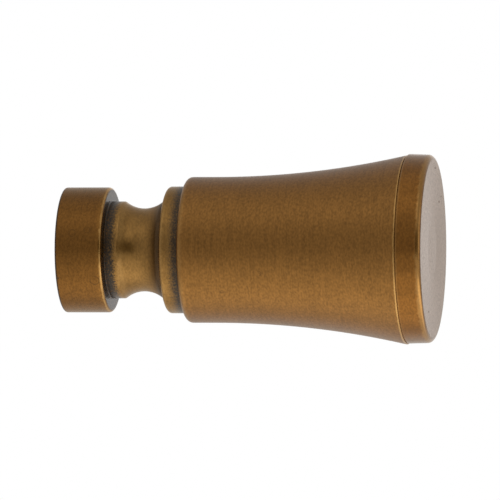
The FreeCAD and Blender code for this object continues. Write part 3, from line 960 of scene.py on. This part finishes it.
studio = {
    "walls": (0.52, 0.52, 0.52),
    "darkSide": (0.114, 0.088, 0.023),  # the unlit end of the room, behind the camera
    "darkMiddle": (0.48, 0.06),  # x and z of the direction in which it lies
    "darkReach": (0.72, 0.45),  # how far it goes from there, in the same two
    "darkCore": 0.35,  # how much of its reach is fully dark
    "darkFade": (-0.2, 0.0),  # y of a direction, between which it ends towards the back
    "seenInMetal": 0.08,  # how much of the white the metal sees
    "seenByFloor": 0.61,  # how much of it lights what is matt
    "floorTone": (0.86, 0.86, 0.85),
    "floorRoughness": 0.9,
    "softFrom": 0.12,  # where a lamp starts to fade, of 0.5 at its edge
    "floorDrop": 110,
    "floorHalf": 750,
}
lamps = {
    "highFront": {"azimuth": 24, "elevation": 49, "far": 1100, "wide": 1150, "strength": 0.407},
    "highLeft": {"azimuth": -42, "elevation": 48, "far": 1100, "wide": 1150, "strength": 0.339},
    "overhead": {"azimuth": 0, "elevation": 84, "far": 900, "wide": 900, "strength": 0.205},
    "right": {"azimuth": 92, "elevation": 8, "far": 1100, "wide": 1000, "strength": 0.446},
    "behindRight": {"azimuth": 182, "elevation": 4, "far": 900, "wide": 700, "strength": 0.54},
}
panels = {  # just above the floor, and light the object from below
    "underNear": {"place": (50, -35, -105), "wide": 330, "deep": 130, "strength": 0.77},
    "underFar": {"place": (50, 53, -104), "wide": 330, "deep": 150, "strength": 0.25},
    "underFront": {"place": (50, -134, -103), "wide": 330, "deep": 190, "strength": 0.45},
    "underRight": {"place": (235, -6, -102), "wide": 230, "deep": 330, "strength": 1.5},
}
view = {
    "azimuth": 9.826,
    "target": (39.21, 0, -0.03),
    "far": 1886.4,
    "focalPixels": 7172.8,
    "pixels": 500,
    "sensor": 36,
    "clipStart": 0.05,
    "clipEnd": 50,
}


def towards(azimuth, elevation):
    around = math.radians(azimuth)
    up = math.radians(elevation)
    return Vector((math.sin(around) * math.cos(up), -math.cos(around) * math.cos(up), math.sin(up)))


def makeLight(name, place, facing, wide, deep, strength):
    # Bright in its middle and faded towards its edges, as cloth over a lamp is
    light = bpy.data.lights.new(name, "AREA")
    light.shape = "RECTANGLE"
    light.size = wide * mm
    light.size_y = deep * mm
    light.energy = strength * math.pi * light.size * light.size_y  # strength 1 looks white
    light.use_nodes = True
    tree = light.node_tree
    across = tree.nodes.new("ShaderNodeSeparateXYZ")
    tree.links.new(tree.nodes.new("ShaderNodeNewGeometry").outputs["Parametric"], across.inputs[0])
    glow = 1.0
    for axis in "XY":
        fromMiddle = sums(tree, "ABSOLUTE", sums(tree, "SUBTRACT", across.outputs[axis], 0.5))
        fade = ramp(tree, fromMiddle, studio["softFrom"], 0.5, 1.0, 0.0)
        glow = sums(tree, "MULTIPLY", glow, fade)
    tree.links.new(glow, tree.nodes["Emission"].inputs["Strength"])
    lightObject = bpy.data.objects.new(name, light)
    lightObject.location = place
    lightObject.rotation_euler = (-facing).to_track_quat("Z", "Y").to_euler()
    lightObject.visible_camera = False
    bpy.context.scene.collection.objects.link(lightObject)


def makeLamp(name, lamp):
    direction = towards(lamp["azimuth"], lamp["elevation"])
    place = (Vector(view["target"]) + direction * lamp["far"]) * mm
    makeLight(name, place, -direction, lamp["wide"], lamp["wide"], lamp["strength"])


def makePanel(name, panel):
    makeLight(name, Vector(panel["place"]) * mm, Vector((0, 0, 1)), panel["wide"], panel["deep"],
              panel["strength"])


def makeFloor():
    bm = bmesh.new()
    bmesh.ops.create_grid(bm, x_segments=1, y_segments=1, size=studio["floorHalf"] * mm)
    shift = Vector((view["target"][0], 0, -studio["floorDrop"])) * mm
    bmesh.ops.translate(bm, vec=shift, verts=bm.verts[:])
    mesh = bpy.data.meshes.new("floor")
    bm.to_mesh(mesh)
    bm.free()
    material = bpy.data.materials.new("paleFloor")
    material.use_nodes = True
    shader = material.node_tree.nodes["Principled BSDF"]
    shader.inputs["Base Color"].default_value = (*studio["floorTone"], 1.0)
    shader.inputs["Roughness"].default_value = studio["floorRoughness"]
    shader.inputs["Specular IOR Level"].default_value = 0.0
    mesh.materials.append(material)
    floor = bpy.data.objects.new("floor", mesh)
    bpy.context.scene.collection.objects.link(floor)


def makeWorld():
    # White for the camera. The metal sees grey walls, darker towards the end behind the camera.
    world = bpy.data.worlds.new("studio")
    bpy.context.scene.world = world
    world.use_nodes = True
    tree = world.node_tree
    parts = tree.nodes.new("ShaderNodeSeparateXYZ")
    tree.links.new(tree.nodes.new("ShaderNodeTexCoord").outputs["Generated"], parts.inputs[0])
    squares = 0.0
    for part, middle, reach in zip("XZ", studio["darkMiddle"], studio["darkReach"]):
        offset = sums(tree, "DIVIDE", sums(tree, "SUBTRACT", parts.outputs[part], middle), reach)
        squares = sums(tree, "ADD", sums(tree, "MULTIPLY", offset, offset), squares)
    front = ramp(tree, parts.outputs["Y"], *studio["darkFade"], 1.0, 0.0)
    away = sums(tree, "SQRT", squares)
    dark = sums(tree, "MULTIPLY", front, ramp(tree, away, studio["darkCore"], 1.0, 1.0, 0.0))
    room = tree.nodes["Background"]
    shade = blendColours(tree, dark, studio["walls"], studio["darkSide"])
    tree.links.new(shade, room.inputs["Color"])
    white = tree.nodes.new("ShaderNodeBackground")
    white.inputs["Color"].default_value = (1.0, 1.0, 1.0, 1.0)
    path = tree.nodes.new("ShaderNodeLightPath")
    seen = sums(tree, "MAXIMUM", path.outputs["Is Camera Ray"], path.outputs["Is Transmission Ray"])
    seen = sums(tree, "ADD", seen, sums(tree, "MULTIPLY", path.outputs["Is Glossy Ray"],
                                        studio["seenInMetal"]))
    seen = sums(tree, "ADD", seen, sums(tree, "MULTIPLY", path.outputs["Is Diffuse Ray"],
                                        studio["seenByFloor"]), clamp=True)
    mix = tree.nodes.new("ShaderNodeMixShader")
    tree.links.new(seen, mix.inputs["Fac"])
    tree.links.new(room.outputs[0], mix.inputs[1])
    tree.links.new(white.outputs[0], mix.inputs[2])
    tree.links.new(mix.outputs[0], tree.nodes["World Output"].inputs["Surface"])


def makeCamera():
    camera = bpy.data.cameras.new("camera")
    camera.sensor_width = view["sensor"]
    camera.lens = camera.sensor_width * view["focalPixels"] / view["pixels"]
    camera.clip_start = view["clipStart"]
    camera.clip_end = view["clipEnd"]
    cameraObject = bpy.data.objects.new("camera", camera)
    direction = towards(view["azimuth"], 0)
    cameraObject.location = Vector(view["target"]) * mm + direction * view["far"] * mm
    cameraObject.rotation_euler = direction.to_track_quat("Z", "Y").to_euler()
    bpy.context.scene.collection.objects.link(cameraObject)
    bpy.context.scene.camera = cameraObject


makeWorld()
makeFloor()
for lampName, lampValues in lamps.items():
    makeLamp(lampName, lampValues)
for panelName, panelValues in panels.items():
    makePanel(panelName, panelValues)
makeCamera()
bpy.context.scene.view_settings.view_transform = "Standard"
print("studio made")
